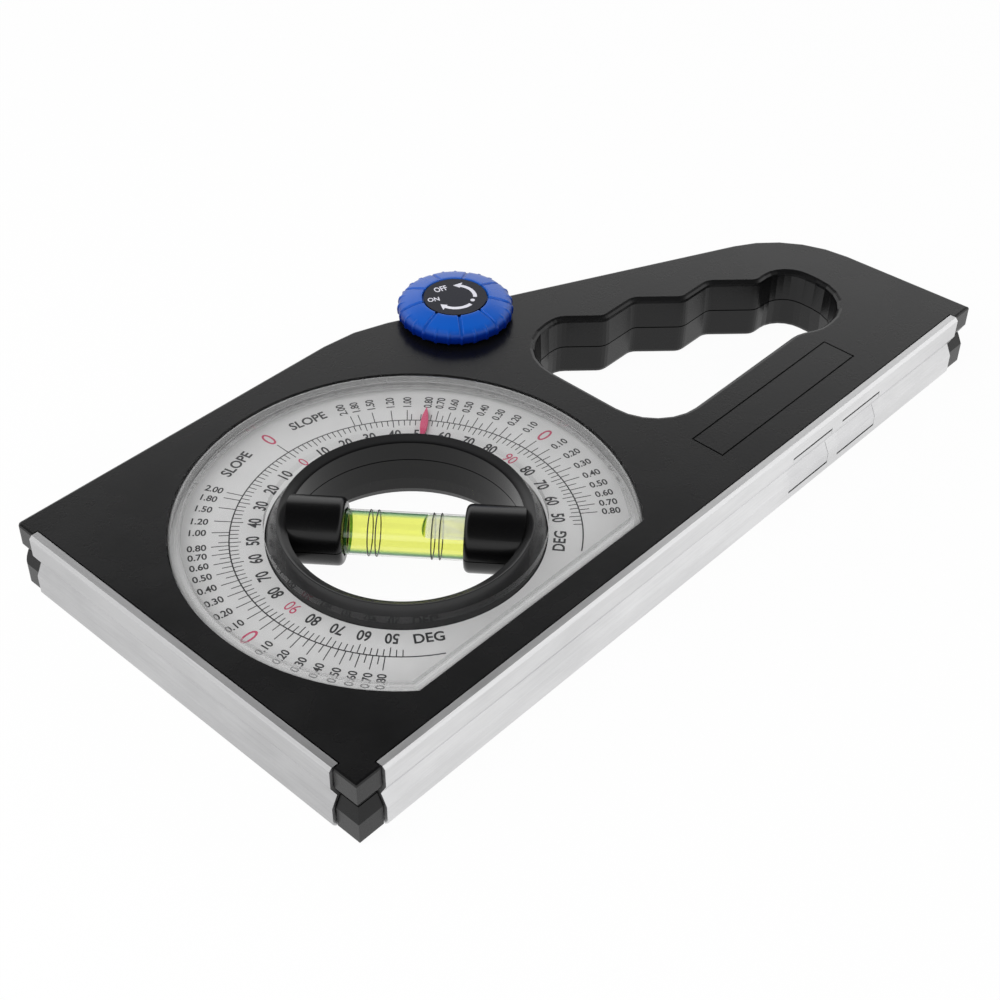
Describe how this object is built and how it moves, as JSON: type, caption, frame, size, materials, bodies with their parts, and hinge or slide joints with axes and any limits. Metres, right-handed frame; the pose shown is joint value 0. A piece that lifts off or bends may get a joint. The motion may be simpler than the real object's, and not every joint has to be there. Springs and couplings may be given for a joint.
{
  "type": "angle finder level",
  "caption": "Hand-held angle finder: flat black case with D handle, aluminium V-groove rails with magnets, round dial, turning ring with level vial and red pointer, and a lock knob.",
  "frame": {"origin": "centre of the bounding box on the plane of the rear face, which lies on the surface", "axes": "+X along the long rail away from the corner of the two rails, +Y from the long rail to the back, +Z out of the dial face"},
  "size_m": [0.2158, 0.1076, 0.0227],
  "materials": {
    "case_black": "satin moulded ABS",
    "rail_aluminium": "satin extruded face",
    "magnet_steel": "ground steel",
    "dial_silver": "fine silver with printed scales",
    "cover_clear": "clear acrylic",
    "ring_black": "satin moulded ABS",
    "vial_clear": "clear acrylic",
    "vial_liquid": "yellow-green liquid",
    "pointer_red": "red",
    "knob_blue": "semi-gloss moulded",
    "label_grey": "printed disc",
    "zinc": "zinc plated",
    "slider_nylon": "natural nylon",
    "brake_rubber": "moulded rubber"
  },
  "bodies": {
    "case": {"front_shell": "case_black", "rear_shell": "case_black", "long_rail": "rail_aluminium", "short_rail": "rail_aluminium", "magnet_1": "magnet_steel", "magnet_2": "magnet_steel", "dial_plate": "dial_silver", "dial_cover": "cover_clear", "case_screw_1": "zinc", "case_screw_2": "zinc", "case_screw_3": "zinc", "case_screw_4": "zinc", "case_screw_5": "zinc", "case_screw_6": "zinc", "case_screw_7": "zinc"},
    "level_ring": {"ring_front": "ring_black", "ring_rear": "ring_black", "vial_tube": "vial_clear", "vial_plug": "vial_clear", "vial_liquid": "vial_liquid", "pointer": "pointer_red"},
    "lock_knob": {"knob": "knob_blue", "knob_cap": "label_grey", "lock_cam": "zinc"},
    "brake": {"brake_slider": "slider_nylon", "brake_pad": "brake_rubber"}
  },
  "joints": [
    {"name": "ring_turn", "type": "hinge", "parent": "case", "child": "level_ring", "pos_m": [-0.04745, -0.00611, 0.0114], "axis": [0, 0, 1], "range_deg": [-95, 198]},
    {"name": "knob_turn", "type": "hinge", "parent": "case", "child": "lock_knob", "pos_m": [0.01495, 0.03916, 0.0179], "axis": [0, 0, 1], "range_deg": [0, 120]},
    {"name": "brake_slide", "type": "slide", "parent": "case", "child": "brake", "axis": [0.8094, 0.5873, 0], "range_m": [0, 0.0012]}
  ],
  "couplings": [
    {"joint": "brake_slide", "follows": "knob_turn", "m_per_rad": 0.00057296}
  ]
}
